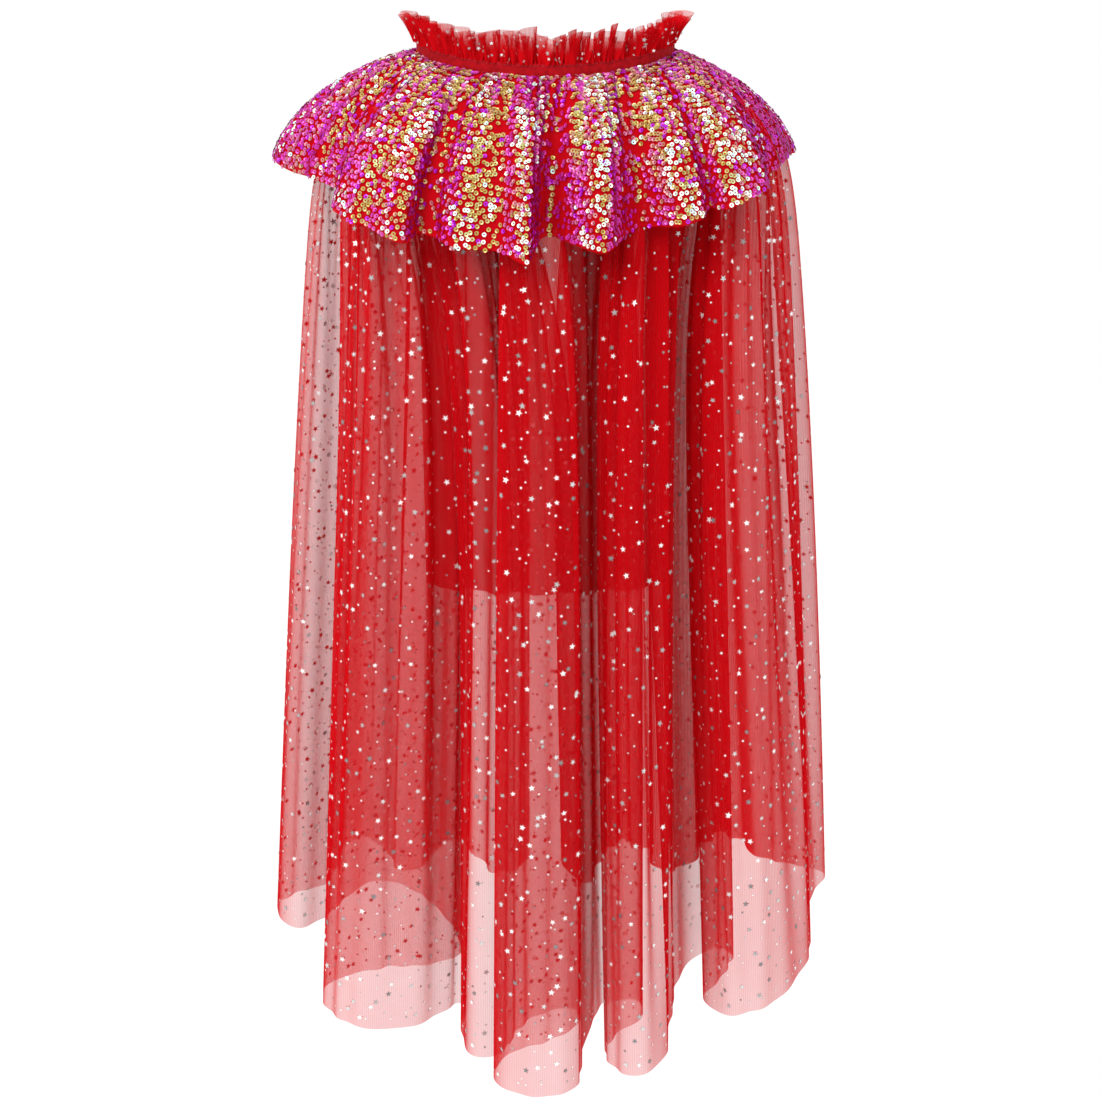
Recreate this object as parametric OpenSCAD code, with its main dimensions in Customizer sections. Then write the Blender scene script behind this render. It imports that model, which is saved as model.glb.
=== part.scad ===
// Child's superhero cape: a gathered star-tulle skirt in one layer, a sequinned capelet over it,
// a velvet neckband with a ruffled stand-up collar, and a hook-and-loop closure at the front.
// The back hangs towards -Y and the front opening faces +Y. The origin is the middle of the neck opening.

/* [Neck opening] */
// Half width of the neckband's ring, side to side
neck_half_w = 86; // [80:1:100]
// Depth of the ring behind its middle
neck_back = 72; // [60:1:85]
// Depth of the ring in front of its middle
neck_front = 60; // [50:1:75]
// How far the ring drops at the front
neck_dip = 45; // [30:1:60]
// How far the ring rises at the shoulders
neck_rise = 6; // [0:1:12]
// Angle from the middle of the front to each end of the band
opening_angle = 8; // [6:1:12]

/* [Band and collar] */
// Height of the velvet neckband
band_h = 9; // [7:0.5:12]
// Thickness of the velvet neckband
band_t = 0.8; // [0.6:0.1:1.2]
// Height of the ruffled collar above the band
collar_h = 32; // [24:1:40]
// How far the collar leans out at its top
collar_lean = 11; // [4:1:16]

/* [Skirt] */
// Drop of the hem below the middle of the neck
hem_drop = 689; // [620:1:750]
// How far the hem rises towards the sides
side_lift = 30; // [10:1:50]
// How wide the folded hem spreads, as a share of its usual plan
hem_spread = 1; // [0.95:0.01:1.05]
// Half width of the skirt where it leaves the shoulders
shoulder_half_w = 165; // [155:1:170]
// Thickness that stands for one layer of gathered cloth
cloth_t = 1.2; // [1:0.1:1.4]

/* [Capelet] */
// How far the capelet stands out at the shoulders
capelet_side_out = 84; // [78:1:92]
// How far the capelet drops at the shoulders
capelet_side_drop = 58; // [50:1:70]
// How far the capelet drops at the back
capelet_back_drop = 100; // [90:1:115]
// Depth of the capelet's folds at its hem
capelet_fold = 8; // [4:1:10]

/* [Lining panel] */
// Half width of the plain panel that hangs inside the back
panel_half_w = 86; // [60:1:95]
// Drop of the panel's hem
panel_drop = 364; // [300:1:400]

/* [Closure] */
// Length of the tab past the band's end
tab_reach = 44; // [36:1:50]
// Width of the hook and loop tapes
tape_w = 5.5; // [4:0.5:5.5]

/* [Hidden] */

// Plan of the skirt's hem, from the left front edge round the back to the right front edge.
// Each deep fold turns back behind the one before it.
hem_left = [
    [-14, 96], [-26, 78], [-44, 72], [-56, 92], [-74, 112], [-92, 96],
    [-104, 70], [-122, 66], [-134, 88], [-150, 100], [-166, 84], [-170, 58]
];
hem_back_left = [
    [-178, 30], [-196, 14], [-210, -6], [-208, -28], [-192, -36], [-176, -16],
    [-160, 18], [-138, 46], [-106, 40], [-78, 6], [-66, -30], [-84, -54],
    [-120, -68], [-150, -88], [-166, -118], [-154, -144], [-124, -152], [-90, -136],
    [-68, -108], [-60, -118], [-62, -150], [-50, -174], [-32, -166], [-18, -134]
];
hem_back_right = [
    [2, -112], [22, -112], [24, -130], [4, -150], [-26, -168], [-37, -194],
    [-24, -214], [0, -220], [22, -206], [27, -164], [38, -116], [52, -100],
    [70, -106], [70, -126], [52, -146], [43, -172], [54, -194], [72, -196],
    [86, -176], [92, -130], [102, -76], [118, -48], [136, -46], [142, -66],
    [131, -88], [118, -109], [128, -132], [150, -138], [180, -118], [197, -84],
    [204, -40], [206, -6], [214, 8], [222, 24], [206, 44], [184, 56],
    [168, 76]
];
hem_right = [
    [158, 98], [138, 104], [122, 82], [106, 64], [90, 80], [78, 104],
    [58, 110], [44, 86], [36, 62], [22, 64], [14, 92]
];
hem_plan = concat(hem_left, hem_back_left, hem_back_right, hem_right);
hem_last = len(hem_plan) - 1;
seam_left = len(hem_left);
seam_right = hem_last - len(hem_right);
seam_gap = 0.1;
shoulder_back = 104;
shoulder_front = 92;
shoulder_fall = 35;
fold_start = 0.17;
// Directions, in degrees from the middle of the back, of the capelet's folds.
capelet_crests = [
    -176, -156, -137, -118, -100, -80, -60, -40, -20, -3,
    14, 30, 47, 63, 82, 101, 119, 138, 157, 176
];
// Waves round the collar.
collar_waves = 34;
side_gap = 0.8;
back_end = 90 - side_gap;
front_start = 90 + side_gap;
front_end = 180 - opening_angle;
edge_clear = 2;
band_gap = 0.05;
tape_t = 0.7;
closed_gap = 0.4;
thread_r = 0.3;
skin_t = 0.5;

// 0 over the back half, rising to 1 at the middle of the front.
function frontness(a) = cos(a) < 0 ? pow(cos(a), 2) : 0;
function backness(a) = cos(a) > 0 ? pow(cos(a), 2) : 0;
function neck_z(a) = neck_rise * pow(sin(a), 2) - neck_dip * frontness(a);
function neck_depth(a) = cos(a) > 0 ? neck_back : neck_front;
// A point of an upright ring: half width rx, depth ry in the direction a, at height z.
function ring_point(a, rx, ry, z) = [rx * sin(a), -ry * cos(a), z];

// 1 at each fold's crest and -1 in the valley half way to the next.
function fold_wave(a, crests) =
    cos(360 * lookup(a, [for (i = [0:len(crests) - 1]) [crests[i], i]]));
// Skirt hem: a smooth curve through the plan's points, t counting them from the left front edge.
function hem_xy(t) = let (
        i = min(floor(t), hem_last - 1),
        f = t - i,
        a = hem_plan[max(0, i - 1)],
        b = hem_plan[i],
        c = hem_plan[i + 1],
        d = hem_plan[min(hem_last, i + 2)]
    ) hem_spread * (b + f * (c - a) / 2 + f * f * (2 * a - 5 * b + 4 * c - d) / 2
        + f * f * f * (3 * b - a - 3 * c + d) / 2);
function hem_gap(i) = norm(hem_plan[min(hem_last, i + 1)] - hem_plan[i]);
hem_run = [for (i = 0, c = 0; i <= hem_last; c = c + hem_gap(i), i = i + 1) c];
hem_share = [for (i = [0:hem_last]) [i, hem_run[i] / hem_run[hem_last]]];
// The direction at the neck from which each share of the hem hangs.
neck_share = [[0, -front_end], [0.14, -107], [0.89, 93], [1, front_end]];
function hem_z(p) = side_lift * pow(p[0] / 210, 2) + (p[1] > 0 ? 0.14 * p[1] : 0) - hem_drop;
// The plan's width and depth at share s down the skirt: narrower than the hem near the shoulders.
function plan_scale(p, s) = let (deep = 0.46 + 0.54 * pow(s, 0.8))
    [0.74 + 0.26 * pow(s, 0.9), p[1] < 0 ? deep : 0.7 + 0.3 * deep];
// Skirt: leaves the band as a plain ring, spreads over the shoulders and takes on the folds there.
function skirt_point(t, s) = let (
        a = lookup(lookup(t, hem_share), neck_share),
        low = hem_xy(t),
        k = plan_scale(low, s),
        top = neck_z(a) - band_h / 2 - edge_clear,
        z = top + (hem_z(low) - top) * s,
        spread = 1 - exp((z - top) / shoulder_fall),
        w = neck_half_w + (shoulder_half_w - neck_half_w) * spread,
        b = neck_depth(a) + ((cos(a) > 0 ? shoulder_back : shoulder_front) - neck_depth(a)) * spread,
        m = 1 - (1 - s) * exp(-s / fold_start)
    ) [w * sin(a) * (1 - m) + low[0] * k[0] * m, -b * cos(a) * (1 - m) + low[1] * k[1] * m, z];

// Capelet: a dome that leaves the band nearly level and steepens to its hem.
function dome_out(t) = sin(75 * t) / sin(75);
function dome_down(t) = 0.45 * t + 0.55 * (1 - cos(75 * t)) / (1 - cos(75));
function capelet_point(a, t, off) = let (
        out = capelet_side_out * pow(sin(a), 2) + 62 * backness(a) + 52 * frontness(a),
        down = capelet_side_drop * pow(sin(a), 2) + capelet_back_drop * backness(a)
            + 90 * frontness(a),
        fold = capelet_fold * t * fold_wave(a, capelet_crests),
        start = 4,
        z = neck_z(a) - band_h / 2 - edge_clear - down * dome_down(t)
    ) ring_point(a, neck_half_w + start + out * dome_out(t) + fold + off,
        neck_depth(a) + start + out * dome_out(t) + fold + off, z);

// Collar: a waved wall that leans out over the band.
function collar_point(a, t, off) = let (
        lean = collar_lean * t * t + 2.2 * t * cos(collar_waves * a),
        top = collar_h * (1 - 0.25 * frontness(a)),
        z = neck_z(a) + band_h / 2 + 0.4 + top * t
    ) ring_point(a, neck_half_w + lean + off, neck_depth(a) + lean + off, z);

// Panel: hangs nearly flat inside the back of the skirt.
function panel_point(u, t, off) = let (
        x = panel_half_w * u * (0.62 + 0.38 * min(1, 3 * t)),
        d = panel_drop * t,
        curve = 11 * u * u,
        z = neck_z(0) - band_h / 2 - edge_clear - d
    ) [x, -(neck_back - 15 + 10 * (1 - exp(-d / 70)) - curve + off), z];

// Band: a strip of the neck ring, s running 0 to 1 from its lower to its upper edge.
function band_point(a, s, off, h) =
    ring_point(a, neck_half_w + off, neck_depth(a) + off, neck_z(a) + h * (s - 0.5));

// A closed sheet between two grids of (n + 1) by (m + 1) points, the outer one first.
module sheet(outer, inner, n, m) {
    row = m + 1;
    base = (n + 1) * row;
    walls = concat(
        [for (i = [0:n - 1]) for (j = [0:m - 1]) [i * row + j, i * row + j + 1, (i + 1) * row + j]],
        [for (i = [0:n - 1]) for (j = [0:m - 1]) [i * row + j + 1, (i + 1) * row + j + 1, (i + 1) * row + j]]
    );
    backs = [for (f = walls) [base + f[0], base + f[2], base + f[1]]];
    tops = [for (i = [0:n - 1]) each [
        [i * row, (i + 1) * row, base + i * row],
        [(i + 1) * row, base + (i + 1) * row, base + i * row]
    ]];
    hems = [for (i = [0:n - 1]) each [
        [i * row + m, base + i * row + m, (i + 1) * row + m],
        [(i + 1) * row + m, base + i * row + m, base + (i + 1) * row + m]
    ]];
    starts = [for (j = [0:m - 1]) each [
        [j, base + j, j + 1],
        [j + 1, base + j, base + j + 1]
    ]];
    last = n * row;
    ends = [for (j = [0:m - 1]) each [
        [last + j, last + j + 1, base + last + j],
        [last + j + 1, base + last + j + 1, base + last + j]
    ]];
    polyhedron(points = concat(outer, inner), faces = concat(walls, backs, tops, hems, starts, ends));
}

// Values from a0 to a1 in n steps, and fractions from 0 to 1 in m steps.
function angles(a0, a1, n) = [for (i = [0:n]) a0 + (a1 - a0) * i / n];
function steps(m) = [for (j = [0:m]) j / m];
// Rows gather towards the top, where the cloth turns over the shoulder.
function skirt_steps(m) = [for (j = [0:m]) pow(j / m, 1.7)];

// The outward direction at a grid's point, from its neighbours along and down the cloth.
function outward(g, i, j) = let (
        along = g[min(len(g) - 1, i + 1)][j] - g[max(0, i - 1)][j],
        down = g[i][min(len(g[0]) - 1, j + 1)] - g[i][max(0, j - 1)],
        n = cross(down, along)
    ) n / norm(n);

module skirt_part(t0, t1, n) {
    m = 8;
    g = [for (t = angles(t0, t1, n)) [for (s = skirt_steps(m)) skirt_point(t, s)]];
    sheet(
        [for (i = [0:n]) for (j = [0:m]) g[i][j] + outward(g, i, j) * cloth_t / 2],
        [for (i = [0:n]) for (j = [0:m]) g[i][j] - outward(g, i, j) * cloth_t / 2],
        n, m
    );
}

module capelet_part(a0, a1, n, off, t) {
    m = 4;
    sheet(
        [for (a = angles(a0, a1, n)) for (s = steps(m)) capelet_point(a, s, off + t / 2)],
        [for (a = angles(a0, a1, n)) for (s = steps(m)) capelet_point(a, s, off - t / 2)],
        n, m
    );
}

module collar_part(off) {
    n = 96;
    m = 2;
    a1 = front_end - 3;
    sheet(
        [for (a = angles(-a1, a1, n)) for (s = steps(m)) collar_point(a, 1 - s, off + cloth_t / 2)],
        [for (a = angles(-a1, a1, n)) for (s = steps(m)) collar_point(a, 1 - s, off - cloth_t / 2)],
        n, m
    );
}

// A strip along the neck ring between two angles and two distances from the ring.
module ring_strip(a0, a1, n, in_off, out_off, h) {
    sheet(
        [for (a = angles(a0, a1, n)) for (s = [1, 0]) band_point(a, s, out_off, h)],
        [for (a = angles(a0, a1, n)) for (s = [1, 0]) band_point(a, s, in_off, h)],
        n, 1
    );
}

// A row of stitching along the band: a six-sided thread laid on its outer face at height s.
module stitching(s) {
    n = 60;
    sides = 6;
    a1 = front_end - 1;
    lie = band_t + band_gap + thread_r;
    rings = [for (a = angles(-a1, a1, n)) for (k = [0:sides - 1])
        band_point(a, s, lie + thread_r * cos(60 * k), band_h) + [0, 0, thread_r * sin(60 * k)]];
    walls = [for (i = [0:n - 1]) for (k = [0:sides - 1]) each [
        [i * sides + k, i * sides + (k + 1) % sides, (i + 1) * sides + k],
        [i * sides + (k + 1) % sides, (i + 1) * sides + (k + 1) % sides, (i + 1) * sides + k]
    ]];
    polyhedron(points = rings, faces = concat(walls,
        [[for (k = [sides - 1:-1:0]) k]],
        [[for (k = [0:sides - 1]) n * sides + k]]));
}

module velvet_neckband() {
    color("darkred") ring_strip(-front_end, front_end, 72, 0, band_t, band_h);
}

module inner_neck_tape() {
    color("firebrick") ring_strip(-front_end, front_end, 72, -band_t - band_gap, -band_gap, band_h - 1);
}

module band_top_stitching() {
    color("red") stitching(0.86);
}

module band_seam_stitching() {
    color("red") stitching(0.1);
}

module collar_outer_ruffle() {
    color("crimson") collar_part(1);
}

module collar_inner_ruffle() {
    color("red") collar_part(-2);
}

module skirt_back() {
    color("crimson") skirt_part(seam_left, seam_right, 3 * (seam_right - seam_left));
}

module skirt_front_left() {
    color("crimson") skirt_part(0, seam_left - seam_gap, 3 * seam_left);
}

module skirt_front_right() {
    color("crimson") skirt_part(seam_right + seam_gap, hem_last, 3 * (hem_last - seam_right));
}

module capelet_back() {
    color("red") capelet_part(-back_end, back_end, 44, 0, cloth_t);
}

module capelet_front_left() {
    color("red") capelet_part(-front_end, -front_start, 18, 0, cloth_t);
}

module capelet_front_right() {
    color("red") capelet_part(front_start, front_end, 18, 0, cloth_t);
}

module capelet_lining_back() {
    color("firebrick") capelet_part(-back_end, back_end, 44, -cloth_t - 0.4, 1);
}

module capelet_lining_front_left() {
    color("firebrick") capelet_part(-front_end, -front_start, 18, -cloth_t - 0.4, 1);
}

module capelet_lining_front_right() {
    color("firebrick") capelet_part(front_start, front_end, 18, -cloth_t - 0.4, 1);
}

module sequins_back() {
    color("hotpink") capelet_part(-back_end, back_end, 44, cloth_t / 2 + band_gap + skin_t / 2, skin_t);
}

module sequins_front_left() {
    color("hotpink") capelet_part(-front_end, -front_start, 18, cloth_t / 2 + band_gap + skin_t / 2, skin_t);
}

module sequins_front_right() {
    color("hotpink") capelet_part(front_start, front_end, 18, cloth_t / 2 + band_gap + skin_t / 2, skin_t);
}

module back_lining_panel() {
    n = 12;
    m = 5;
    color("red") sheet(
        [for (u = steps(n)) for (t = steps(m)) panel_point(2 * u - 1, t, cloth_t / 2)],
        [for (u = steps(n)) for (t = steps(m)) panel_point(2 * u - 1, t, -cloth_t / 2)],
        n, m
    );
}

// The tab steps out from the band's right end to pass in front of the left end with its tapes.
tab_start = front_end + 0.8;
tab_step = 6;
tab_sweep = 31;
tab_out = band_t + 2 * tape_t + closed_gap + 3 * band_gap;
function tab_offset(a) = tab_out * min(1, max(0, (a - tab_start) / tab_step));

module closure_tab() {
    n = 12;
    color("darkred") sheet(
        [for (a = angles(tab_start, tab_start + tab_reach, n)) for (s = [1, 0])
            band_point(a, s, tab_offset(a) + band_t, band_h)],
        [for (a = angles(tab_start, tab_start + tab_reach, n)) for (s = [1, 0])
            band_point(a, s, tab_offset(a), band_h)],
        n, 1
    );
}

module hook_tape() {
    color("black") ring_strip(tab_start + tab_reach - tab_sweep, tab_start + tab_reach - 1, 8,
        tab_out - band_gap - tape_t, tab_out - band_gap, tape_w);
}

module loop_tape() {
    color("maroon") ring_strip(tab_start + tab_reach - tab_sweep, tab_start + tab_reach - 1, 8,
        band_t + band_gap, band_t + band_gap + tape_t, tape_w);
}

velvet_neckband();
inner_neck_tape();
band_top_stitching();
band_seam_stitching();
collar_outer_ruffle();
collar_inner_ruffle();
skirt_back();
skirt_front_left();
skirt_front_right();
capelet_back();
capelet_front_left();
capelet_front_right();
capelet_lining_back();
capelet_lining_front_left();
capelet_lining_front_right();
sequins_back();
sequins_front_left();
sequins_front_right();
back_lining_panel();
closure_tab();
hook_tape();
loop_tape();
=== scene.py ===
import math

import bpy
import numpy as np
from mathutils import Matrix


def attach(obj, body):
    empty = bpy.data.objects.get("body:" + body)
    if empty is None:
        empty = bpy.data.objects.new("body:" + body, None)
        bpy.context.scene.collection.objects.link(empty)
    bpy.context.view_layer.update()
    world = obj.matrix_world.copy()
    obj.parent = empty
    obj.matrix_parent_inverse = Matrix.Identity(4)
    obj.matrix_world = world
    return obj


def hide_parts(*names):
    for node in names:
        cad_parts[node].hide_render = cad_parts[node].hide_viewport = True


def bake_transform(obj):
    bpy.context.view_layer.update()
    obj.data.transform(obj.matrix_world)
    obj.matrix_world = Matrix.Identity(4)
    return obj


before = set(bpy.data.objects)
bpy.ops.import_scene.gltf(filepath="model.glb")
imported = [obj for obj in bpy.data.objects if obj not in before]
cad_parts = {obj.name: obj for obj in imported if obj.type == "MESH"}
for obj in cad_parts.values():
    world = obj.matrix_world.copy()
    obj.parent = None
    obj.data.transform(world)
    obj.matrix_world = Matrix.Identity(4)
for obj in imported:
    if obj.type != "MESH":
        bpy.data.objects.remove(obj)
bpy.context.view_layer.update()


# Light and view: a pale floor below the hanging cape, a white surround, a broad soft light from
# the upper left behind the camera, and a camera above the cape's back looking down at 21.5 degrees.
def grid_faces(n, m, wrap=False):
    """Quads of a grid with n columns of m points, column by column: each joins a point, the one
    below it and the two beside them. The outward side is on the left of a walk down the column."""
    i = np.arange(n if wrap else n - 1)[:, None]
    j = np.arange(m - 1)[None, :]
    k = (i + 1) % n
    return np.stack([i * m + j, i * m + j + 1, k * m + j + 1, k * m + j], -1).reshape(-1, 4)


def make_piece(name, points, faces, material, uv=None, smooth=True, colours=None, plies=None):
    """A mesh object at the origin from whole arrays: points (n, 3) in metres, faces (f, k), and for
    each point a uv pair, a colour and the count of plies it stands for."""
    mesh = bpy.data.meshes.new(name)
    mesh.from_pydata(points.reshape(-1, 3).tolist(), [], faces.tolist())
    mesh.polygons.foreach_set("use_smooth", np.full(len(faces), smooth))
    if uv is not None:
        layer = mesh.uv_layers.new(name="UVMap")
        layer.data.foreach_set("uv", uv.reshape(-1, 2)[faces.ravel()].astype(np.float32).ravel())
    if colours is not None:
        tint = mesh.attributes.new("tint", "FLOAT_COLOR", "POINT")
        tint.data.foreach_set("color", np.c_[colours, np.ones(len(colours))].astype(np.float32).ravel())
    if plies is not None:
        count = mesh.attributes.new("plies", "FLOAT", "POINT")
        count.data.foreach_set("value", plies.astype(np.float32).ravel())
    mesh.update()
    mesh.materials.append(material)
    piece = bpy.data.objects.new(name, mesh)
    bpy.context.scene.collection.objects.link(piece)
    return piece


def new_material(name):
    """A material with an empty node tree: returns it, its tree and its output node."""
    material = bpy.data.materials.new(name)
    material.use_nodes = True
    tree = material.node_tree
    tree.nodes.clear()
    return material, tree, tree.nodes.new("ShaderNodeOutputMaterial")


def add_node(tree, kind, links=(), **values):
    """A node of that kind; a value sets the input of that name, or a property given with a leading
    underscore; a link is (input, source socket)."""
    node = tree.nodes.new("ShaderNode" + kind)
    for key, value in values.items():
        if key.startswith("_"):
            setattr(node, key[1:], value)
        else:
            node.inputs[key.replace("_", " ")].default_value = value
    for target, source in links:
        tree.links.new(source, node.inputs[target])
    return node


def principled(tree, output, **values):
    """A Principled shader wired to the output, with its inputs set by name."""
    shader = add_node(tree, "BsdfPrincipled", **values)
    tree.links.new(shader.outputs[0], output.inputs["Surface"])
    return shader


floor_material, tree, output = new_material("pale_floor")
shader = principled(tree, output, Roughness=0.9)
coords = add_node(tree, "TexCoord")
grain = add_node(tree, "TexNoise", [("Vector", coords.outputs["Object"])], Scale=3.0, Detail=2.0)
shade = add_node(tree, "MixRGB", [("Fac", grain.outputs["Fac"])],
                 Color1=(0.86, 0.86, 0.86, 1), Color2=(0.90, 0.90, 0.90, 1))
tree.links.new(shade.outputs[0], shader.inputs["Base Color"])
side = np.linspace(-14, 14, 9)
plane = np.stack(np.meshgrid(side, -side, [-1.6], indexing="ij"), -1).reshape(-1, 3)
floor = make_piece("floor", plane, grid_faces(9, 9)[:, ::-1], floor_material, smooth=False)

scene = bpy.context.scene
world = bpy.data.worlds.new("studio")
world.use_nodes = True
world.node_tree.nodes["Background"].inputs["Color"].default_value = (1, 1, 1, 1)
world.node_tree.nodes["Background"].inputs["Strength"].default_value = 0.85
scene.world = world

key = bpy.data.lights.new("key", "AREA")
key.energy = 46
key.size = 1.3
key_object = bpy.data.objects.new("key", key)
key_object.location = (-1.3, -1.9, 1.5)
key_object.rotation_euler = (math.radians(50), 0, math.radians(-34))
scene.collection.objects.link(key_object)
sun = bpy.data.lights.new("soft_sun", "SUN")
sun.energy = 1.1
sun.angle = math.radians(60)
sun_object = bpy.data.objects.new("soft_sun", sun)
sun_object.rotation_euler = (math.radians(30), math.radians(8), 0)
scene.collection.objects.link(sun_object)

camera = bpy.data.cameras.new("camera")
camera.sensor_width = 36
camera.lens = 71.2
camera_object = bpy.data.objects.new("camera", camera)
camera_object.location = (0.003, -1.5, 0.228)
camera_object.rotation_euler = (math.radians(68.5), 0, 0)
scene.collection.objects.link(camera_object)
scene.camera = camera_object
scene.cycles.transparent_max_bounces = 40
scene.cycles.max_bounces = 14
scene.view_settings.view_transform = "Standard"


# Neckband: a 9 mm dark red velvet ribbon that runs round the neck as a near-ellipse,
# 172 mm wide, open at the front, dipping to the front and a little at the middle of the back.
def frontness(a):
    """0 over the back half, the cosine's square over the front half."""
    return np.where(np.cos(a) < 0, np.cos(a) ** 2, 0.0)


def neck_z(a):
    """Height of the neck ring in direction a, measured from the middle of the back: 6 mm up at the
    shoulders, 45 mm down at the front."""
    return 0.006 * np.sin(a) ** 2 - 0.045 * frontness(a)


def neck_depth(a):
    """Depth of the neck ring behind (72 mm) or in front (60 mm) of its middle."""
    return np.where(np.cos(a) > 0, 0.072, 0.060)


def ring(a, out, z):
    """Points of the neck ring grown outwards by out, at height z: half width 86 mm, depth by
    direction."""
    x = (0.086 + out) * np.sin(a)
    y = -(neck_depth(a) + out) * np.cos(a)
    return np.stack(np.broadcast_arrays(x, y, z), -1)


def tube_faces(n, m):
    """Quads of a closed section of m points swept through n stations, outward side out."""
    k = np.arange(m)
    i = np.arange(n - 1)[:, None]
    after = (k + 1) % m
    return np.stack([i * m + k, (i + 1) * m + k, (i + 1) * m + after, i * m + after], -1).reshape(-1, 4)


def ribbon(name, a0, a1, n, out, thick, high, material, lift=0.0, round_to=0.35, puff=None):
    """A closed strip along the neck ring: its section is a rounded rectangle, thick by high, swept
    from direction a0 to a1 in degrees, its ends closed by narrowing to a seam. puff(a, v) adds to
    the thickness."""
    a = np.radians(np.linspace(a0, a1, n))[:, None]
    q = np.linspace(0, 2 * np.pi, 25)[None, :-1]
    c, s = np.cos(q), np.sin(q)
    across = np.sign(c) * np.abs(c) ** 0.6
    along = np.sign(s) * np.abs(s) ** round_to
    ends = np.clip(np.minimum(np.arange(n), np.arange(n)[::-1]) / 1.5, 0.02, 1)[:, None]
    grow = 0 if puff is None else puff(a, along) * np.clip(across, 0, 1)
    offset = out + thick / 2 + (thick / 2 * across + grow) * ends
    z = neck_z(a) + lift + high / 2 * along * ends
    points = ring(np.broadcast_to(a, z.shape), offset, z)
    uv = np.stack(np.broadcast_arrays(a * 0.09, along * high / 2 + across * thick), -1)
    return make_piece(name, points, tube_faces(n, 24), material, uv)


velvet, tree, output = new_material("velvet")
shader = principled(tree, output, Roughness=0.85, Sheen_Weight=0.35, Sheen_Roughness=0.4,
                    Specular_IOR_Level=0.15)
shader.inputs["Sheen Tint"].default_value = (0.8, 0.04, 0.05, 1)
coords = add_node(tree, "TexCoord")
pile = add_node(tree, "TexNoise", [("Vector", coords.outputs["Object"])], Scale=240.0, Detail=4.0)
ramp = add_node(tree, "ValToRGB", [("Fac", pile.outputs["Fac"])])
ramp.color_ramp.elements[0].position, ramp.color_ramp.elements[0].color = 0.3, (0.25, 0.0, 0.003, 1)
ramp.color_ramp.elements[1].position, ramp.color_ramp.elements[1].color = 0.75, (0.42, 0.001, 0.006, 1)
tree.links.new(ramp.outputs[0], shader.inputs["Base Color"])
bump = add_node(tree, "Bump", [("Height", pile.outputs["Fac"])], Strength=0.35, Distance=0.0006)
tree.links.new(bump.outputs[0], shader.inputs["Normal"])


def band_puff(a, v):
    """The ribbon's face swells a little between two stitched seams and puckers along them, more
    tightly than it swells."""
    pucker = 0.00012 * np.sin(a * 130 + 2 * np.sin(a * 17)) + 0.00010 * np.sin(a * 57 + 1)
    return 0.0003 * (1 - v ** 2) + pucker


band = ribbon("neckband", -171.6, 171.6, 420, 0.0001, 0.0011, 0.009, velvet, puff=band_puff)
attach(band, "neck_and_front")
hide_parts("velvet_neckband")


# Neck tape: a matt red woven tape that covers the gathered seams on the inside of the neckband.
# It is as long as the band and a little narrower.
def woven(name, dark, light, scale, roughness=0.8):
    """A plain woven cloth: two reds mixed by a fine noise, with a fine bump."""
    material, tree, output = new_material(name)
    shader = principled(tree, output, Roughness=roughness, Specular_IOR_Level=0.2)
    coords = add_node(tree, "TexCoord")
    weave = add_node(tree, "TexNoise", [("Vector", coords.outputs["Object"])], Scale=scale, Detail=3.0)
    ramp = add_node(tree, "ValToRGB", [("Fac", weave.outputs["Fac"])])
    ramp.color_ramp.elements[0].position, ramp.color_ramp.elements[0].color = 0.35, (*dark, 1)
    ramp.color_ramp.elements[1].position, ramp.color_ramp.elements[1].color = 0.7, (*light, 1)
    tree.links.new(ramp.outputs[0], shader.inputs["Base Color"])
    bump = add_node(tree, "Bump", [("Height", weave.outputs["Fac"])], Strength=0.3, Distance=0.0004)
    tree.links.new(bump.outputs[0], shader.inputs["Normal"])
    return material


neck_tape_cloth = woven("neck_tape", (0.42, 0.006, 0.015), (0.62, 0.02, 0.03), 900.0)
neck_tape = ribbon("neck_tape", -171.6, 171.6, 300, -0.0009, 0.0008, 0.008, neck_tape_cloth)
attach(neck_tape, "neck_and_front")
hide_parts("inner_neck_tape")


# Stitching: two rows of red thread on the band, one near its top edge and one near the capelet.
# Each stitch is a short rounded bar 2.2 mm long that sinks at its ends.
def stitch_row(name, height, count):
    """Short bars along the neck ring at that height: each is a thin six-sided bar whose width
    shrinks and whose middle rises as a half ellipse along its length."""
    a = np.radians(np.linspace(-170.5, 170.5, count))[:, None, None]
    along = np.linspace(-1, 1, 6)[None, :, None]
    q = np.linspace(0, 2 * np.pi, 7)[None, None, :-1]
    size = 0.00028 * np.sqrt(1.04 - along ** 2)
    angle = a + along * math.radians(0.68)
    out = 0.00135 + 0.0001 * (1 - along ** 2) + size * np.cos(q)
    z = neck_z(angle) + height + size * np.sin(q)
    points = ring(np.broadcast_to(angle, z.shape), out, z)
    faces = (tube_faces(6, 6)[None] + 36 * np.arange(count)[:, None, None]).reshape(-1, 4)
    return make_piece(name, points, faces, thread)


thread, tree, output = new_material("thread")
shader = principled(tree, output, Roughness=0.5)
coords = add_node(tree, "TexCoord")
twist = add_node(tree, "TexNoise", [("Vector", coords.outputs["Object"])], Scale=700.0)
ramp = add_node(tree, "ValToRGB", [("Fac", twist.outputs["Fac"])])
ramp.color_ramp.elements[0].color = (0.20, 0.0, 0.005, 1)
ramp.color_ramp.elements[1].color = (0.46, 0.004, 0.012, 1)
tree.links.new(ramp.outputs[0], shader.inputs["Base Color"])
rows_of_stitches = (
    ("top_stitches", "band_top_stitching", 0.0030),
    ("seam_stitches", "band_seam_stitching", -0.0034),
)
for name, stands_for, height in rows_of_stitches:
    row = stitch_row(name, height, 190)
    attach(row, "neck_and_front")
    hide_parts(stands_for)


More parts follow.
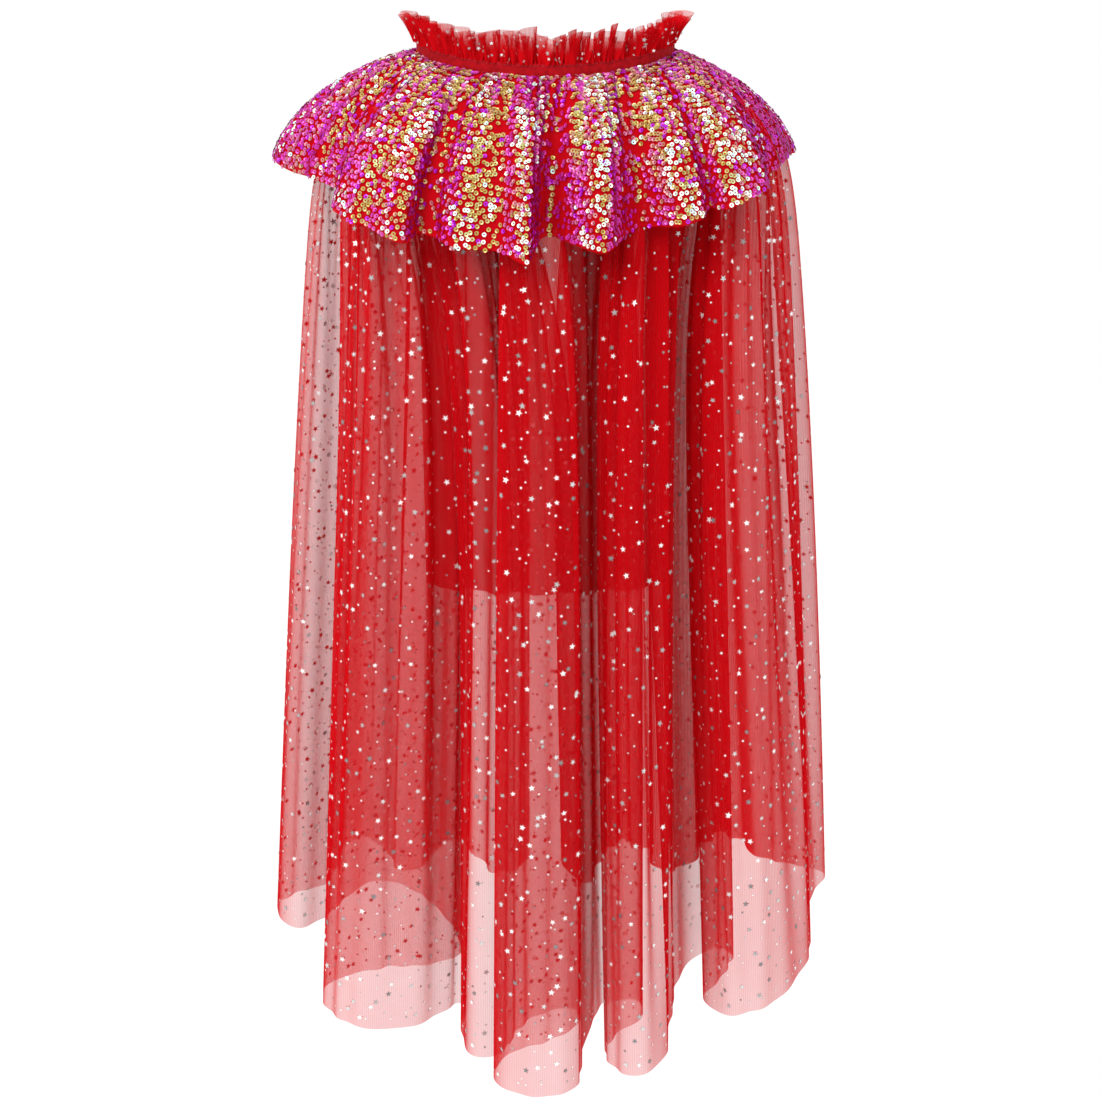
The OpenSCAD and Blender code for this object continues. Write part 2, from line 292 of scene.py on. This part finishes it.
# Skirt: one layer of red star tulle, 2.4 m wide and 0.70 m long, gathered to the neck.
# It spreads over the shoulders and falls in deep folds that turn back behind one another.
hem_plan = np.array([
    (-14, 96), (-26, 78), (-44, 72), (-56, 92), (-74, 112), (-92, 96), (-104, 70), (-122, 66),
    (-134, 88), (-150, 100), (-166, 84), (-170, 58), (-178, 30), (-196, 14), (-210, -6),
    (-208, -28), (-192, -36), (-176, -16), (-160, 18), (-138, 46), (-106, 40), (-78, 6),
    (-66, -30), (-84, -54), (-120, -68), (-150, -88), (-166, -118), (-154, -144), (-124, -152),
    (-90, -136), (-68, -108), (-60, -118), (-62, -150), (-50, -174), (-32, -166), (-18, -134),
    (2, -112), (22, -112), (24, -130), (4, -150), (-26, -168), (-37, -194), (-24, -214),
    (0, -220), (22, -206), (27, -164), (38, -116), (52, -100), (70, -106), (70, -126), (52, -146),
    (43, -172), (54, -194), (72, -196), (86, -176), (92, -130), (102, -76), (118, -48),
    (136, -46), (142, -66), (131, -88), (118, -109), (128, -132), (150, -138), (180, -118),
    (197, -84), (204, -40), (206, -6), (214, 8), (222, 24), (206, 44), (184, 56), (168, 76),
    (158, 98), (138, 104), (122, 82), (106, 64), (90, 80), (78, 104), (58, 110), (44, 86),
    (36, 62), (22, 64), (14, 92)]) / 1000.0
hem_run = np.r_[0, np.cumsum(np.hypot(*np.diff(hem_plan, axis=0).T))]
hem_run = hem_run / hem_run[-1]


def smooth_curve(a, b, c, d, f):
    """The place at share f of the span from b to c: a cubic whose slope at b is half the way from
    a to c, and at c half the way from b to d."""
    square = f ** 2 * (2 * a - 5 * b + 4 * c - d) / 2
    return b + f * (c - a) / 2 + square + f ** 3 * (3 * b - a - 3 * c + d) / 2


def hem_point(u):
    """The hem's plan at share u of its length: a smooth curve through the listed points, each
    span a cubic that leaves a point along the line between its two neighbours."""
    t = np.interp(u, hem_run, np.arange(len(hem_plan)))
    i = np.minimum(t.astype(int), len(hem_plan) - 2)
    f = (t - i)[..., None]
    a, b, c, d = (hem_plan[np.clip(i + k, 0, len(hem_plan) - 1)] for k in (-1, 0, 1, 2))
    return smooth_curve(a, b, c, d, f)


def neck_angle(u):
    """The direction at the neck from which share u of the hem hangs."""
    return np.radians(np.interp(u, [0, 0.14, 0.89, 1], [-172, -107, 93, 172]))


def skirt_form(u, s):
    """The skirt without its small folds, at share u round and share s down. The neck ring spreads
    towards a shoulder ring as one minus e to the minus drop over 35 mm, and gives way to the hem's
    plan within the first fifth of the length; the plan is 0.74 as wide and 0.46 as deep at the top
    as at the hem."""
    a = neck_angle(u)
    low = hem_point(u)
    hem_z = 0.030 * (low[..., 0] / 0.210) ** 2 + 0.14 * np.clip(low[..., 1], 0, None) - 0.689
    top = neck_z(a) - 0.0065
    z = top + (hem_z - top) * s
    spread = 1 - np.exp((z - top) / 0.035)
    wide = 0.086 + 0.079 * spread
    deep = neck_depth(a) + (np.where(np.cos(a) > 0, 0.104, 0.092) - neck_depth(a)) * spread
    down = np.clip(s, 0, 1)
    m = 1 - (1 - down) * np.exp(-down / 0.17)
    wide_share = 0.74 + 0.26 * down ** 0.9
    deep_share = 0.46 + 0.54 * down ** 0.8
    x = low[..., 0] * wide_share
    y = low[..., 1] * np.where(low[..., 1] < 0, deep_share, 0.7 + 0.3 * deep_share)
    return np.stack([wide * np.sin(a) * (1 - m) + x * m, -deep * np.cos(a) * (1 - m) + y * m, z], -1)


def waves(u, s, count, seed, drift=0.6):
    """Folds of uneven width and depth: a sine of count waves round, its phase pushed about by
    slower sines and drifting down the cloth, times a strength that varies from fold to fold."""
    rng = np.random.default_rng(seed)
    p, q, r = rng.uniform(0, 2 * np.pi, (3, 4))
    turn = 2 * np.pi * count * u
    phase = turn + 1.7 * np.sin(0.23 * turn + p[0]) + 1.1 * np.sin(0.11 * turn + p[1])
    phase = phase + drift * s * np.sin(0.17 * turn + q[0])
    strength = 0.62 + 0.25 * np.sin(0.31 * turn + r[0] + 1.5 * s) + 0.2 * np.sin(0.073 * turn + r[1])
    return np.sin(phase) * strength


def skirt_surface(u, s):
    """The skirt with its small folds pushed out along its level normal: middle folds are deepest a
    third of the way down and on the right, where most of the cloth is gathered, narrow ones near
    the top, and both die out towards the hem; deep ones crowd the right front."""
    step = 0.0012
    along = skirt_form(u + step, s) - skirt_form(u - step, s)
    normal = np.stack([along[..., 1], -along[..., 0]], -1)
    normal = normal / np.maximum(np.linalg.norm(normal, axis=-1, keepdims=True), 1e-9)
    rise = 1 - np.exp(-s / 0.09)
    full = np.interp(u, [0.10, 0.14, 0.22, 0.27, 0.60, 0.69, 0.85, 0.92],
                     [1.3, 0.3, 0.3, 1.3, 1.5, 2.3, 2.3, 1.3])
    front = np.interp(u, [0.02, 0.08, 0.86, 0.90, 0.97, 1.0], [0.4, 0.0, 0.0, 1.0, 1.0, 0.4])
    deep = 0.0115 * front * rise * (1 - 0.45 * s) * waves(u, s, 78, 5)
    middle = 0.0060 * full * rise * (1 - 0.88 * s ** 1.3) * waves(u, s, 46, 3)
    narrow = (0.0013 + 0.0030 * np.exp(-s / 0.16) * rise + 0.0007 * (1 - s)) * waves(u, s, 88, 8)
    point = skirt_form(u, s)
    point[..., :2] += normal * (deep + middle + narrow)[..., None]
    return point


columns, rows = 1300, 70
u = np.linspace(0, 1, columns)[:, None] + np.zeros((1, rows))
s = (np.linspace(0, 1, rows) ** 1.25)[None, :] + np.zeros((columns, 1))
skirt_points = skirt_surface(u, s)
skirt_uv = np.stack([u * 2.4, s * 0.70], -1)


def tulle_material(name, thread_colour, through_colour, cover, streaks=0.10, period=0.0015,
                   crowded=0.0, plied=False):
    """Sheer net: transparent between threads that scatter light on both sides. Its cover is set
    facing; at a slant the gaps close as their facing share to the power of the path through the
    net, and fine wavering lines run along the cloth. A crowded net is covered more by that share at
    its gathered edge, less up to 18 mm from it. A plied net lengthens the path by the mesh's own
    count of plies."""
    material, tree, output = new_material(name)
    coords = add_node(tree, "TexCoord")
    lines = add_node(tree, "TexWave", [("Vector", coords.outputs["UV"])],
                     Scale=math.pi / 10 / period, Distortion=2.5, Detail=2.0, Detail_Scale=0.05)
    cloud = add_node(tree, "TexNoise", [("Vector", coords.outputs["UV"])], Scale=60.0, Detail=3.0)
    graze = add_node(tree, "LayerWeight", Blend=0.5)
    square = add_node(tree, "Math", [(1, graze.outputs["Facing"])], _operation="SUBTRACT")
    square.inputs[0].default_value = 1.0
    path = add_node(tree, "Math", [(1, square.outputs[0])], _operation="DIVIDE")
    path.inputs[0].default_value = 1.0
    short = add_node(tree, "Math", [(0, path.outputs[0])], _operation="MINIMUM")
    short.inputs[1].default_value = 6.0
    if plied:
        plies = add_node(tree, "Attribute", _attribute_name="plies")
        short = add_node(tree, "Math", [(0, short.outputs[0]), (1, plies.outputs["Fac"])],
                         _operation="MULTIPLY")
    left = add_node(tree, "Math", [(1, short.outputs[0])], _operation="POWER")
    left.inputs[0].default_value = 1 - cover
    base = add_node(tree, "Math", [(1, left.outputs[0])], _operation="SUBTRACT")
    base.inputs[0].default_value = 0.97 - streaks * 0.5
    fine = add_node(tree, "Math", [(0, lines.outputs["Fac"]), (2, base.outputs[0])],
                    _operation="MULTIPLY_ADD")
    fine.inputs[1].default_value = streaks
    patchy = add_node(tree, "Math", [(0, cloud.outputs["Fac"]), (2, fine.outputs[0])],
                      _operation="MULTIPLY_ADD", _use_clamp=True)
    patchy.inputs[1].default_value = 0.06
    if crowded:
        height = add_node(tree, "SeparateXYZ", [("Vector", coords.outputs["UV"])])
        low = add_node(tree, "Math", [(0, height.outputs["Y"])],
                       _operation="MULTIPLY_ADD", _use_clamp=True)
        low.inputs[1].default_value, low.inputs[2].default_value = -crowded / 0.018, crowded
        patchy = add_node(tree, "Math", [(0, patchy.outputs[0]), (1, low.outputs[0])],
                          _operation="ADD", _use_clamp=True)
    front = add_node(tree, "BsdfDiffuse", Color=(*thread_colour, 1))
    back = add_node(tree, "BsdfTranslucent", Color=(*through_colour, 1))
    threads = add_node(tree, "MixShader", [(1, front.outputs[0]), (2, back.outputs[0])],
                       Fac=0.22)
    gap = add_node(tree, "BsdfTransparent")
    net = add_node(tree, "MixShader",
                   [("Fac", patchy.outputs[0]), (1, gap.outputs[0]), (2, threads.outputs[0])])
    tree.links.new(net.outputs[0], output.inputs["Surface"])
    return material


def skirt_plies(u, s):
    """How many thicknesses of tulle the surface stands for, counting gathers too fine to shape:
    most near the neck, on the right and the right front, few on the plain sides and, behind, one at
    the hem."""
    behind = np.interp(u, [0.08, 0.12, 0.24, 0.30, 0.60, 0.68, 0.77, 0.80, 0.86],
                       [0.0, -0.3, -0.3, 0.10, 0.25, 0.90, 0.90, 0.0, 0.0])
    before = np.interp(u, [0.0, 0.07, 0.86, 0.885, 1.0], [0.6, 0.0, 0.0, 2.3, 1.3])
    crowd = np.interp(u, [0.10, 0.13, 0.22, 0.26, 0.77, 0.80, 0.86, 0.88],
                      [1.3, 0.25, 0.25, 1.3, 1.3, 0.4, 0.4, 1.3])
    return 1 + behind * (1 - s) ** 0.7 + before + crowd * np.exp(-s / 0.15)


tulle = tulle_material("star_tulle", (0.61, 0.004, 0.008), (0.58, 0.004, 0.008), 0.41, plied=True)
skirt = make_piece("skirt", skirt_points, grid_faces(columns, rows), tulle, skirt_uv,
                   plies=skirt_plies(u, s))
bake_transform(skirt)
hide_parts("skirt_back", "skirt_front_left", "skirt_front_right")


# Stars: silver foil stars, 2 to 5 mm across, printed on the outer face of the tulle about
# 11 mm apart, their greys from bright to dark set at random as painted reflections. From the inside
# each shows as a dark red star.
def scatter_frames(surface, su, ss, out, du=0.0006, ds=0.002):
    """Centres and two unit directions in the cloth at scattered places on a surface, the centres
    lifted outwards by out."""
    centre = surface(su, ss)
    along = surface(su + du, ss) - surface(su - du, ss)
    down = surface(su, ss + ds) - surface(su, ss - ds)
    along = along / np.linalg.norm(along, axis=-1, keepdims=True)
    normal = np.cross(down, along)
    normal = normal / np.maximum(np.linalg.norm(normal, axis=-1, keepdims=True), 1e-9)
    side = np.cross(normal, along)
    return centre + normal * out, along, side, normal


def place(centre, e1, e2, normal, x, y, lift):
    """Points at x and y in the cloth and lifted off it, for every centre."""
    flat = centre[:, None] + x[..., None] * e1[:, None] + y[..., None] * e2[:, None]
    return flat + lift[..., None] * normal[:, None]


rng = np.random.default_rng(21)
star_count = 12800
cells_u, cells_s = 206, 64
cell = rng.permutation(cells_u * cells_s)[:star_count]
star_u = np.clip((cell // cells_s + rng.uniform(0.05, 0.95, star_count)) / cells_u, 0.003, 0.997)
star_s = np.clip((cell % cells_s + rng.uniform(0.05, 0.95, star_count)) / cells_s, 0.01, 0.988)


def star_mesh(name, su, ss, surface, out, sizes, material, colours, flip=False):
    """Flat five-pointed stars laid on a surface, each turned at random and tipped a little: ten rim
    points, the inner ones at 0.42 of the radius."""
    local = np.random.default_rng(5)
    centre, e1, e2, normal = scatter_frames(surface, su, ss, out)
    turn = local.uniform(0, 2 * np.pi, len(su))[:, None]
    k = np.arange(10)[None, :]
    radius = sizes[:, None] / 2 * np.where(k % 2 == 0, 1.0, 0.42)
    x, y = radius * np.cos(turn + k * np.pi / 5), radius * np.sin(turn + k * np.pi / 5)
    tip = local.normal(0, 0.10, (2, len(su), 1))
    lift = x * tip[0] + y * tip[1]
    points = place(centre, e1, e2, normal, x, y, lift)
    faces = np.arange(len(su) * 10).reshape(-1, 10)
    if flip:
        faces = faces[:, ::-1]
    return make_piece(name, points, faces, material, smooth=False,
                      colours=np.repeat(colours, 10, axis=0))


def tinted(name, **values):
    """A Principled shader whose base colour is the mesh's own tint."""
    material, tree, output = new_material(name)
    shader = principled(tree, output, **values)
    tint = add_node(tree, "Attribute", _attribute_name="tint")
    tree.links.new(tint.outputs["Color"], shader.inputs["Base Color"])
    return material


foil = tinted("silver_foil", Metallic=0.35, Roughness=0.32)
foil_back = tinted("foil_reverse", Roughness=0.7)
is_large = rng.random(star_count) < 0.36
large, small = rng.uniform(0.0040, 0.0052, star_count), rng.uniform(0.0018, 0.0026, star_count)
star_size = np.where(is_large, large, small)
# Painted reflections: each silver star's brightness, bright to dark at random, stands for what the foil
# mirrors rather than its own colour.
painted_reflection_grey = rng.choice([0.85, 0.60, 0.38, 0.20], star_count, p=[0.40, 0.26, 0.20, 0.14])
silver = painted_reflection_grey[:, None] * np.array([1.0, 0.99, 0.98])
dull = np.array([0.44, 0.014, 0.022]) * rng.uniform(0.7, 1.3, star_count)[:, None]
stars = star_mesh("skirt_stars", star_u, star_s, skirt_surface, 0.00018, star_size, foil, silver)
star_backs = star_mesh("skirt_stars_reverse", star_u, star_s, skirt_surface, -0.00018, star_size,
                       foil_back, dull, flip=True)
for piece in (stars, star_backs):
    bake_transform(piece)


# Lining panel: a plain red net panel without stars, about 170 mm wide and 364 mm long, that hangs
# nearly flat inside the middle of the back and shows as a darker block through the skirt.
def panel_surface(u, s):
    """A strip that widens from its gathered top, hangs just inside the back of the skirt and curves
    round at its sides, with a few soft folds."""
    x = 0.086 * (2 * u - 1) * (0.62 + 0.38 * np.clip(3 * s, 0, 1))
    d = 0.364 * s
    fold = 0.0022 * (0.4 + s) * np.sin(2 * np.pi * (5.3 * u + 0.2 * s))
    fold = fold + 0.0012 * np.sin(2 * np.pi * 13 * u)
    y = -(0.057 + 0.010 * (1 - np.exp(-d / 0.070)) - 0.011 * (2 * u - 1) ** 2) + fold
    z = -0.0065 - d + 0.003 * (2 * u - 1) ** 2
    return np.stack([x, y, z], -1)


u, s = np.meshgrid(np.linspace(0, 1, 90), np.linspace(0, 1, 70), indexing="ij")
panel_net = tulle_material("plain_net", (0.58, 0.004, 0.008), (0.55, 0.004, 0.008), 0.80,
                           streaks=0.06)
panel = make_piece("panel", panel_surface(u, s), grid_faces(90, 70), panel_net,
                   np.stack([u * 0.17, s * 0.364], -1))
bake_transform(panel)
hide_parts("back_lining_panel")


# Capelet: a shoulder frill of red mesh, 1.05 m wide and 0.115 m deep before it is gathered,
# that leaves the band nearly level and turns down in a dozen deep, uneven folds.
capelet_hem = np.array([
    (-16, 112, -136), (-40, 122, -134), (-62, 104, -128), (-88, 112, -118), (-108, 88, -108),
    (-134, 86, -98), (-150, 58, -88), (-174, 44, -80), (-177, 20, -73), (-188, 4, -69),
    (-184, -16, -72), (-172, -28, -75), (-154, -46, -77), (-139, -60, -80), (-124, -80, -84),
    (-126, -94, -86), (-138, -100, -85), (-130, -112, -88), (-115, -120, -92), (-101, -130, -97),
    (-91, -132, -99), (-83, -112, -97), (-72, -120, -99), (-56, -136, -102), (-42, -134, -103),
    (-26, -138, -105), (-12, -151, -109), (-5, -122, -101), (3, -114, -99), (15, -126, -100),
    (29, -141, -102), (40, -144, -103), (49, -126, -99), (60, -108, -95), (74, -116, -92),
    (88, -125, -90), (101, -119, -87), (107, -102, -83), (119, -113, -81), (132, -108, -76),
    (146, -91, -72), (144, -77, -72), (142, -61, -72), (149, -46, -72), (159, -28, -71),
    (170, 2, -69), (173, 20, -72), (162, 40, -78), (150, 56, -86), (132, 86, -97),
    (108, 87, -107), (87, 110, -118), (62, 104, -128), (40, 120, -134), (16, 112, -136)]) / 1000.0
capelet_run = np.r_[0, np.cumsum(np.hypot(*np.diff(capelet_hem[:, :2], axis=0).T))]
capelet_run = capelet_run / capelet_run[-1]


def capelet_surface(u, t, off=0.0):
    """The frill at share u round and share t down: a dome that runs from the neck ring to the hem's
    given curve, its reach growing as a sine and its drop as one minus a cosine, so that the
    hem's folds open from the band; fine gathers die out towards the hem."""
    a = np.radians(-172 + 344 * u)
    k = np.interp(u, capelet_run, np.arange(len(capelet_hem)))
    i = np.minimum(k.astype(int), len(capelet_hem) - 2)
    f = (k - i)[..., None]
    p, q, r, w = (capelet_hem[np.clip(i + step, 0, len(capelet_hem) - 1)] for step in (-1, 0, 1, 2))
    low = smooth_curve(p, q, r, w, f)
    turn_down = math.radians(75)
    angle = turn_down * t
    reach = (np.sin(angle) / math.sin(turn_down))[..., None]
    fall = 0.45 * t + 0.55 * (1 - np.cos(angle)) / (1 - math.cos(turn_down))
    top = ring(a, 0.0008, neck_z(a) - 0.0038)
    down = np.clip(t, 0, 1)
    gather = 0.0030 * np.exp(-1.6 * down) * (1 - np.exp(-down / 0.05)) * waves(u, t, 62, 13)
    gather = gather + 0.0010 * t * waves(u, t, 40, 17) + off
    point = top + (low - top) * reach
    point[..., 2] = top[..., 2] + (low[..., 2] - top[..., 2]) * fall
    point = point + ring(a, gather, 0.0) - ring(a, 0.0, 0.0)
    point[..., 2] += 0.3 * off + 0.4 * gather * (1 - t)
    return point


u, t = np.meshgrid(np.linspace(0, 1, 700), np.linspace(0, 1, 32), indexing="ij")
mesh_cloth = tulle_material("capelet_mesh", (0.56, 0.004, 0.010), (0.60, 0.004, 0.010), 0.82,
                            streaks=0.06, period=0.0011)
capelet = make_piece("capelet", capelet_surface(u, t), grid_faces(700, 32), mesh_cloth,
                     np.stack([u * 1.05, t * 0.115], -1))
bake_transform(capelet)
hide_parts("capelet_back", "capelet_front_left", "capelet_front_right")


# Capelet lining: a plain red net of the same cut under the sequinned mesh. Its hem shows as a thin
# red edge below the last row of sequins.
lining = make_piece("capelet_lining", capelet_surface(u, t * 1.004, -0.0024), grid_faces(700, 32),
                    panel_net, np.stack([u * 1.05, t * 0.118], -1))
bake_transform(lining)
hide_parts("capelet_lining_back", "capelet_lining_front_left",
            "capelet_lining_front_right")


# Sequins: about ten thousand cup sequins, 3 mm across with a 1 mm hole, sewn in close rows over
# the whole capelet. Their colour is painted light: a painted iridescent reflection, gold and pale
# where a sequin faces back and up, magenta on the flanks and dark as painted shade where it turns
# away, with painted mint-white highlights crowded on the folds' crests.
def ridge(u):
    """How far the capelet's hem at share u stands out beyond the mean of its places 2 hundredths to
    each side: above nothing on a fold's crest, below it in a valley."""
    index = np.arange(len(capelet_hem))
    k = np.interp(u[None] + np.array([-0.02, 0, 0.02])[:, None], capelet_run, index)
    x, y = (np.interp(k, index, capelet_hem[:, axis]) for axis in (0, 1))
    reach = np.hypot(x * 0.8, y)
    return reach[1] - (reach[0] + reach[2]) / 2


def sequin_mesh(name, su, st, seed):
    """Shallow ten-sided rings on the capelet's surface: each is a cone between a 0.55 mm hole and a
    1.5 mm rim, tipped at random. Its colour is painted by its facing: painted iridescent reflection,
    gold to pale where it faces back and up, magenta on the flanks, dark as painted shade where it
    turns away, with painted mint-white highlights on the crests and a few violet ones at random."""
    local = np.random.default_rng(seed)
    count = len(su)
    centre, e1, e2, normal = scatter_frames(capelet_surface, su, st, 0.0009, 0.0015, 0.02)
    turn = local.uniform(0, 2 * np.pi, (count, 1))
    q = turn + np.arange(10)[None, :] * np.pi / 5
    tip = local.normal(0, 0.17, (2, count, 1))
    rings = []
    for radius, height in ((0.00055, 0.0), (0.0015, 0.00032)):
        x, y = radius * np.cos(q), radius * np.sin(q)
        lift = height + x * tip[0] + y * tip[1]
        rings.append(place(centre, e1, e2, normal, x, y, lift))
    points = np.stack(rings, 1).reshape(-1, 3)
    k = np.arange(10)
    one = np.stack([k, 10 + k, 10 + (k + 1) % 10, (k + 1) % 10], -1)
    faces = (one[None] + 20 * np.arange(count)[:, None, None]).reshape(-1, 4)
    tipped = normal + tip[0] * e1 + tip[1] * e2
    tipped = tipped / np.linalg.norm(tipped, axis=-1, keepdims=True)
    # Painted reflection and shade: the film's colour is set from how far each sequin faces back and up,
    # not from any lamp; flanks turn magenta and faces turned away dark.
    facing = 0.2 * np.abs(tipped[:, 1]) + 0.8 * np.abs(normal[:, 1])
    facing = 0.93 * facing + 0.37 * (0.2 * tipped[:, 2] + 0.8 * normal[:, 2])
    broad = np.sin(su * 71 + 3 * np.sin(su * 23)) * np.sin(st * 7 + su * 37)
    patch = 0.5 * broad + 0.5 * np.sin(su * 190 + 2 * np.sin(st * 11))
    crest = np.clip(ridge(su) / 0.006, 0, 1)
    value = facing - 0.35 * np.abs(normal[:, 0]) + local.normal(0, 0.055, count) + 0.10 * patch
    painted_sheen_stops = [0.0, 0.36, 0.54, 0.64, 0.74, 0.90, 1.02]
    reds = np.interp(value, painted_sheen_stops, [0.26, 0.56, 0.62, 0.58, 0.48, 0.42, 0.56])
    greens = np.interp(value, painted_sheen_stops, [0.0, 0.015, 0.05, 0.18, 0.31, 0.32, 0.56])
    blues = np.interp(value, painted_sheen_stops, [0.12, 0.34, 0.40, 0.26, 0.11, 0.06, 0.26])
    colours = np.stack([reds, greens, blues], -1)
    # Painted highlights: a share of sequins, most on fold crests facing back, are given a bright
    # mint-white colour.
    painted_glint_share = np.clip((0.15 + 0.80 * crest) * (facing - 0.40) * (0.7 + patch), 0.02, 0.60)
    painted_glint = local.random(count) < painted_glint_share
    colours[painted_glint] = local.uniform([0.62, 0.85, 0.72], [0.95, 1.0, 0.98], (painted_glint.sum(), 3))
    violet = local.random(count) < 0.05 + 0.12 * (patch < -0.5)
    colours[violet] = (0.46, 0.01, 0.60)
    return make_piece(name, points, faces, sequin_film, smooth=False,
                      colours=np.repeat(colours, 20, axis=0))


sequin_film = tinted("sequin_film", Metallic=0.30, Roughness=0.22)
step = 0.0034 / 1.15
all_u, all_t = [], []
for row in range(36):
    row_u = np.arange(0.003 + step / 2 * (row % 2), 0.997, step)
    all_u.append(row_u + rng.normal(0, 0.00050, len(row_u)))
    wander = 0.006 * np.sin(row_u * 80 + row) + rng.normal(0, 0.006, len(row_u))
    all_t.append((row + 0.8) / 36.3 + wander)
sequin_u, sequin_t = np.concatenate(all_u), np.concatenate(all_t)
under_tab = (np.abs(sequin_u - 0.5) > 0.45) & (sequin_t < 0.18)
keep_share = np.clip(1.0 + ridge(sequin_u) / 0.016, 0.45, 1)
kept = (rng.random(len(sequin_u)) < keep_share) & ~under_tab
sequin_u, sequin_t = sequin_u[kept], sequin_t[kept]
share_back = (sequin_u > 0.235) & (sequin_u < 0.765)
parts = (
    ("back_sequins", "sequins_back", share_back, 31),
    ("left_sequins", "sequins_front_left", ~share_back & (sequin_u < 0.5), 32),
    ("right_sequins", "sequins_front_right", ~share_back & (sequin_u > 0.5), 33),
)
for name, stands_for, chosen, seed in parts:
    piece = sequin_mesh(name, sequin_u[chosen], sequin_t[chosen], seed)
    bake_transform(piece)
    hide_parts(stands_for)


# Collar: two strips of star tulle gathered tightly above the band into a standing ruffle. The
# gathers open upwards into round loops that lean out and overlap.
def collar_surface(u, t, layer):
    """A ruffle at share u round and share t up: the strip swings out and back as it goes round,
    further than it advances near its top, so that it stands in loops; its height varies from loop
    to loop."""
    a = np.radians(-168 + 336 * u)
    loops = 40 if layer == 0 else 47
    uneven = 1.2 * np.sin(2 * np.pi * 7 * u + layer) + 0.8 * np.sin(2 * np.pi * 17 * u)
    phase = 2 * np.pi * loops * u + uneven + 2.1 * layer
    open_up = np.clip(t, 0, 1) ** 0.8
    strength = 0.8 + 0.3 * np.sin(2 * np.pi * 17 * u + layer)
    swing = (0.0012 + 0.0054 * open_up) * np.sin(phase) * strength
    slide = 0.0032 * open_up * np.sin(2 * phase + 0.4)
    tight = np.sin(2 * np.pi * 150 * u + 2 * np.sin(2 * np.pi * 31 * u))
    gather = 0.0016 * (1.05 - open_up) * tight
    crown = 0.0185 + 0.0020 * np.sin(2 * np.pi * 9 * u + 2 * layer)
    crown = crown + 0.0014 * np.sin(2 * np.pi * 21 * u)
    tall = crown * (1 - 0.22 * np.sin(a) ** 2) * (1.10 if layer == 0 else 0.94)
    lean = (0.0060 - 0.005 * layer) * t ** 1.6 + (0.0016 if layer == 0 else -0.0020)
    z = neck_z(a) + 0.0036 + tall * t - 0.0020 * open_up * np.cos(phase)
    return ring(a + slide / 0.09, lean + swing + gather, z)


collar_tulle = tulle_material("collar_tulle", (0.60, 0.004, 0.008), (0.58, 0.004, 0.008), 0.46,
                              streaks=0.08, crowded=0.8)
u, t = np.meshgrid(np.linspace(0, 1, 1500), np.linspace(1, 0, 14), indexing="ij")
ruffles = (("outer_ruffle", "collar_outer_ruffle"), ("inner_ruffle", "collar_inner_ruffle"))
for layer, (name, stands_for) in enumerate(ruffles):
    ruffle = make_piece(name, collar_surface(u, t, layer), grid_faces(1500, 14), collar_tulle,
                        np.stack([u * 1.2, t * 0.020], -1))
    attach(ruffle, "neck_and_front")
    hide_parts(stands_for)
    count = 260
    su, st = rng.uniform(0.01, 0.99, count), rng.uniform(0.05, 0.9, count)
    size = rng.uniform(0.0018, 0.0036, count)
    # Painted reflections: each collar star's brightness is set at random, from bright to dim, for what
    # the foil mirrors.
    painted_shine = rng.choice([0.95, 0.75, 0.45], count)[:, None] * np.ones(3)
    dots = star_mesh(name + "_stars", su, st, lambda x, y: collar_surface(x, y, layer), -0.0003,
                     size, foil, painted_shine)
    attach(dots, "neck_and_front")


# Closure: a velvet tab that runs on from the band's right end and passes in front of its left end,
# with a black-red hook tape behind it and a loop tape facing it on the band.
def tab_reach(a):
    """How far the tab stands off the ring at direction a: it steps out by 2.7 mm over the first 6
    degrees."""
    degrees = np.degrees(a) - 172.8
    return 0.00275 * np.clip(degrees / 6, 0, 1)


def tab_ribbon(name, a0, a1, out, thick, high, material):
    """A ribbon like the band's that follows the tab's step."""
    a = np.radians(np.linspace(a0, a1, 60))[:, None]
    q = np.linspace(0, 2 * np.pi, 25)[None, :-1]
    across = np.sign(np.cos(q)) * np.abs(np.cos(q)) ** 0.6
    along = np.sign(np.sin(q)) * np.abs(np.sin(q)) ** 0.35
    ends = np.clip(np.minimum(np.arange(60), np.arange(60)[::-1]) / 1.5, 0.02, 1)[:, None]
    z = neck_z(a) + high / 2 * along * ends
    offset = tab_reach(a) + out + thick / 2 + thick / 2 * across * ends
    points = ring(np.broadcast_to(a, z.shape), offset, z)
    return make_piece(name, points, tube_faces(60, 24), material)


tab = tab_ribbon("tab_velvet", 172.8, 216.8, 0.0, 0.0009, 0.009, velvet)
hook_nylon = woven("hook_nylon", (0.10, 0.002, 0.004), (0.30, 0.008, 0.015), 1500.0, 0.45)
loop_nylon = woven("loop_nylon", (0.34, 0.008, 0.02), (0.60, 0.04, 0.06), 1100.0, 0.95)
hooks = tab_ribbon("hooks", 185.8, 215.8, -0.00078, 0.0007, 0.0055, hook_nylon)
loops = ribbon("loops", 185.8, 215.8, 60, 0.00085, 0.0007, 0.0055, loop_nylon)
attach(tab, "tab")
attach(hooks, "tab")
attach(loops, "neck_and_front")
closure_pieces = (
    (tab, "closure_tab", "velvet"),
    (hooks, "hook_tape", "hook_tape"),
    (loops, "loop_tape", "loop_tape"),
)
for piece, stands_for, finish in closure_pieces:
    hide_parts(stands_for)
